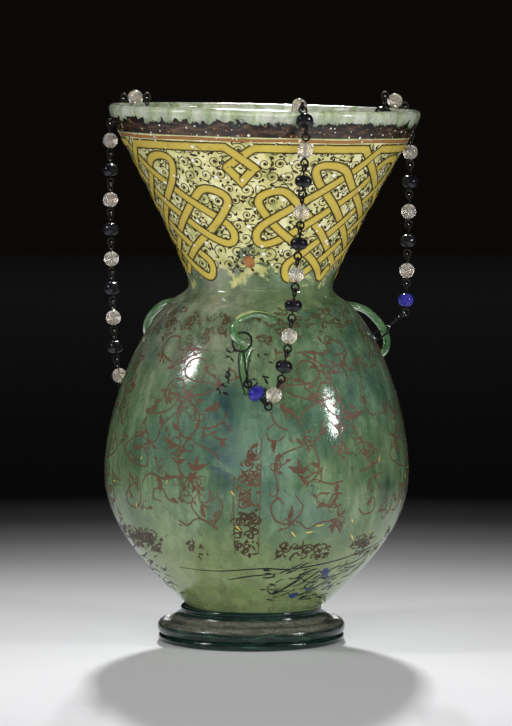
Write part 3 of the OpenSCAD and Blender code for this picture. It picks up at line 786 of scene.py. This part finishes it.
# Pointed leaves of the same panel: azimuth, height, direction in degrees and length
LEAVES = [
    (32, 167, 175, 8), (37, 158, -20, 6), (24, 144, 10, 9), (42, 137, -70, 8), (44, 132, 20, 5),
    (13, 141, -75, 8), (15, 138, -40, 6), (10, 121, -95, 8), (19, 103, 35, 8), (19, 103, 90, 9),
    (19, 103, 145, 8), (28, 124, 40, 7), (16, 77, 80, 10), (35, 76, -85, 9), (30, 86, 200, 6),
    (12, 148, 60, 7), (47, 112, 20, 6), (56, 146, -35, 7), (50, 84, 60, 6), (22, 97, 130, 8),
    (35, 97, -100, 8), (27, 106, 150, 6), (36, 126, 60, 7), (52, 139, 100, 6),
]
LEAF_WIDTH = 2.5
CURLS = 46
FIRST_COLUMN = -3.5
COLUMNS = [FIRST_COLUMN + PERIOD * k for k in range(REPEATS)]
red, brown, dark = Paint(), Paint(), Paint()
for column in COLUMNS:
    for hand in (1, -1):
        for stem in STEMS:
            path = on_skin(through(stem), column, hand)
            red.stroke(path, tapered(0.55, 0.45), 0.06, wear=scroll_wear)
        for x, z, way, length in LEAVES:
            angle = math.radians(way if hand > 0 else 180 - way)
            theta = math.radians(column + hand * x)
            leaf(red, theta, SKIN.along(z), angle, length, LEAF_WIDTH, 0.07, hand * 0.7, scroll_wear)
        for _ in range(CURLS):
            theta = math.radians(column + hand * rng.uniform(7, 59))
            s = SKIN.along(rng.uniform(71, 170))
            size, start, way = rng.uniform(2.4, 4.4), rng.uniform(0, TAU), rng.choice((1, -1))
            curl = spiral(theta, s, size, rng.uniform(0.7, 1.15), start, way, 18)
            red.stroke(curl, narrowing(0.8, 0.35), 0.06, wear=scroll_wear)
            for turn in (0.0, 1.9):
                a = start + way * turn
                leaf(red, theta + size * math.cos(a) / SKIN.radius(s), s + size * math.sin(a), a - way * 0.9,
                     rng.uniform(3.0, 5.0), rng.uniform(1.2, 2.0), 0.065, way * 1.3, scroll_wear)


def scribbles(paint, start, end, low, high, count, lift, wear, curls=0.4):
    """Short curls and leaves scattered over a patch of the glass."""
    for _ in range(count):
        theta = math.radians(rng.uniform(start, end))
        s = rng.uniform(SKIN.along(low), SKIN.along(high))
        if rng.random() < curls:
            curl = spiral(theta, s, rng.uniform(1.8, 3.2), 1.1, rng.uniform(0, TAU), rng.choice((1, -1)), 16)
            paint.stroke(curl, narrowing(0.95, 0.4), lift, wear=wear)
        else:
            leaf(paint, theta, s, rng.uniform(0, TAU), rng.uniform(2.5, 5.0), rng.uniform(0.8, 1.6), lift,
                 rng.uniform(-1.4, 1.4), wear)


# Fine worn band on the shoulder, broken band low on the body, and the column of ornament
for column in COLUMNS:
    scribbles(brown, column, column + PERIOD, 172, 190, 150, 0.06, heavy_wear)
    for start, end, low in ((-66, -17, 54.5), (12, 38, 55), (46, 79, 59)):
        count = int((end - start) * 1.8)
        scribbles(dark, column + start, column + end, low, low + 7.5, count, 0.065, heavy_wear)
    scribbles(dark, column - 4.2, column + 4.2, 56, 84, 50, 0.065, scroll_wear)
    scribbles(red, column - 4.2, column + 4.2, 84, 122, 70, 0.065, scroll_wear)
    for side in (-1, 1):
        frame_line = [(side * 4.9, 57 + i) for i in range(66)]
        red.stroke(on_skin(frame_line, column), 0.6, 0.06, wear=scroll_wear)


# Drawn tail of glass below each handle, edged and set round with dark dashes
def line_wear(p):
    return noise.noise(p * 60) > 0.22


TAIL_TOPS = (170.5, 161.5, 161.5)
tails, lines = Paint(), Paint()
for handle, top in zip(HANDLES, TAIL_TOPS):
    tail = through([(0.1, top), (-1.0, top - 7), (-0.6, top - 15), (1.4, top - 26)])
    tails.stroke(on_skin(tail, handle), narrowing(7.4, 5.6), 0.1, rows=7, arch=1.9)
    for side in (-1, 1):
        edge = [(x + side * (3.1 - 2.4 * i / len(tail)), z) for i, (x, z) in enumerate(tail)]
        lines.stroke(on_skin(edge, handle), 1.1, 0.12)
    for low, high in ((-11.5, -6.5), (3.0, 10.5)):
        scribbles(lines, handle + low, handle + high, top - 28, top - 2, 20, 0.07, line_wear, curls=0)
tails.make("handle_tails", HANDLE_GLASS)

# Lines that rise to one side, scribbles and blue spots near the foot
blue, yellow, flecks = Paint(), Paint(), Paint()
# Azimuths from the front and heights of the lines
LOW_LINES = [
    [(-40, 46), (-19, 45.8), (4, 48.4), (17, 48.0), (40, 52), (58, 57), (72, 61)],
    [(-14, 40.6), (-2, 43.5), (11, 45.2)],
    [(8, 37), (8.5, 34), (13, 32.5), (22, 40), (24, 41), (20, 37), (14, 34)],
    [(24, 42), (28, 41), (31, 43), (34, 46), (38, 43), (34, 40), (30, 37), (33, 35)],
    [(20, 33), (28, 31), (34, 33), (40, 37), (47, 42), (56, 46)],
    [(42, 48), (52, 49), (60, 52)],
]
# Azimuth, height and size of each spot
BLUE_SPOTS = [
    (25, 31, 2.0), (33, 35, 1.6), (39, 44.5, 2.2), (41, 42, 1.8), (37, 46, 1.6), (50, 34.5, 1.7),
    (47, 37, 1.2),
]
for column in COLUMNS:
    for line in LOW_LINES:
        lines.stroke(on_skin(through(line), column - FIRST_COLUMN), tapered(0.5, 0.6), 0.06)
    for x, z, size in BLUE_SPOTS:
        theta = math.radians(column - FIRST_COLUMN + x)
        for _ in range(4):
            shift = rng.uniform(-1.6, 1.6) / SKIN.radius(SKIN.along(z))
            s = SKIN.along(z) + rng.uniform(-1.4, 1.4)
            reach = size * rng.uniform(0.5, 0.9)
            blue.dot(theta + shift, s, reach, 0.08, 6, rng.uniform(0.6, 1.2), rng.uniform(0, 3))
    for _ in range(84):
        leaf(lines, math.radians(column + rng.uniform(6, 68)), SKIN.along(rng.uniform(28, 50)),
             rng.uniform(-0.3, 0.9), rng.uniform(3, 9), rng.uniform(0.6, 1.2), 0.06, rng.uniform(-1.8, 1.8))
    for _ in range(12):
        leaf(yellow, math.radians(column + rng.uniform(-55, 60)), SKIN.along(rng.uniform(66, 108)),
             rng.choice((-0.9, 1.3, 0.1)), rng.uniform(2.0, 6.0), rng.uniform(0.5, 0.9), 0.08, 0.3)

# Red band over the border, a red patch below each square, and pale flecks
RED_LINE_HEIGHT = 283.4
RED_LINE_WIDTH = 1.9
FLECK_LIFT = 0.42
orange = Paint()
ring = [(i, RED_LINE_HEIGHT + 0.2 * math.sin(math.radians(9 * i))) for i in range(361)]
orange.stroke(on_skin(ring), RED_LINE_WIDTH, 0.08)
for column in COLUMNS:
    orange.dot(math.radians(column - 5), SKIN.along(215.5), 3.3, 0.08, 7, 1.3, 0.4)
for _ in range(210):
    theta = rng.uniform(0, TAU)
    target = flecks if rng.random() < 0.72 else orange
    s = SKIN.along(rng.uniform(281, 291.4))
    size = rng.uniform(0.25, 0.8)
    target.dot(theta, s, size, FLECK_LIFT, 6, rng.uniform(0.5, 1.4), rng.uniform(0, 3))
for _ in range(120):
    theta = rng.uniform(0, TAU)
    s = SKIN.along(rng.uniform(214, 282))
    size = rng.uniform(0.3, 1.1)
    flecks.dot(theta, s, size, FLECK_LIFT, 7, rng.uniform(0.6, 1.3), rng.uniform(0, 3))

ink.make("enamel_fine_scrolls", INK)
pale.make("enamel_pale_dots", WHITE)
red.make("enamel_red_scrolls", RED)
brown.make("enamel_worn_bands", BROWN)
dark.make("enamel_low_bands", UMBER)
lines.make("enamel_black_lines", BLACK_LINE)
blue.make("enamel_blue_spots", BLUE)
yellow.make("enamel_yellow_strokes", YELLOW)
orange.make("enamel_red_line", ORANGE)
flecks.make("enamel_flecks", WHITE)


# Floor, light and camera
def floor_material():
    """A pale floor with the fall of the light painted into it: bright round the lamp, darkening to black
    behind.
    """
    m = Nodes("floor_pale")
    x, y, _ = m.split(m.coords())
    back = m.math("ADD", y, 0.2)
    far = m.math("SQRT", m.math("ADD", m.math("MULTIPLY", x, x), m.math("MULTIPLY", back, back)))
    pale_floor = (0.80, 0.80, 0.82)
    # Painted light: the floor's brightness at each distance from a point just in front of the lamp
    stops = [
        (0.13, 1.0), (0.23, 0.84), (0.39, 0.60), (0.58, 0.23), (0.69, 0.094), (0.80, 0.025), (0.95, 0.0025),
    ]
    colour = m.ramp(far, [(at, tuple(k * c for c in pale_floor)) for at, k in stops])
    m.set(Base_Color=colour, Roughness=0.8)
    m.bsdf.inputs["Specular IOR Level"].default_value = 0.0
    return m.material


floor_mesh = bpy.data.meshes.new("floor")
floor_mesh.from_pydata([(-4, -4, 0), (4, -4, 0), (4, 4, 0), (-4, 4, 0)], [], [(0, 1, 2, 3)])
floor_mesh.materials.append(floor_material())
floor = bpy.data.objects.new("floor", floor_mesh)
bpy.context.scene.collection.objects.link(floor)
floor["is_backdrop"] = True


def area_light(name, place, aim, size, power, mirrored=True):
    light = bpy.data.lights.new(name, "AREA")
    light.shape = "RECTANGLE"
    light.size, light.size_y = size
    light.energy = power
    obj = bpy.data.objects.new(name, light)
    obj.visible_glossy = mirrored
    obj.location = place
    obj.rotation_euler = (Vector(aim) - Vector(place)).to_track_quat("-Z", "Y").to_euler()
    bpy.context.scene.collection.objects.link(obj)


area_light("key_top", (0.0, 3.77, 2.45), (0, 0, 0.1), (0.30, 0.30), 240)
area_light("box_left", (-1.15, -0.40, 1.03), (0, 0, 0.18), (0.25, 0.25), 5.5)
area_light("box_right", (1.30, -0.66, 0.65), (0, 0, 0.16), (0.14, 0.34), 6)
area_light("front", (0.0, -3.4, 0.60), (0, 0, 0.2), (4.4, 1.1), 142, mirrored=False)

world = bpy.data.worlds.new("studio")
world.use_nodes = True
world.node_tree.nodes["Background"].inputs["Color"].default_value = (0.0035, 0.0028, 0.0022, 1)
bpy.context.scene.world = world
bpy.context.scene.view_settings.view_transform = "Standard"

camera = bpy.data.objects.new("camera", bpy.data.cameras.new("camera"))
camera.data.sensor_fit = "VERTICAL"
camera.data.sensor_height = 36
camera.data.lens = 221.4
camera.location = (0.0027, -2.5, 0.353)
camera.rotation_euler = (math.radians(90 - 4.5), 0, 0)
bpy.context.scene.collection.objects.link(camera)
bpy.context.scene.camera = camera

low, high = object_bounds()
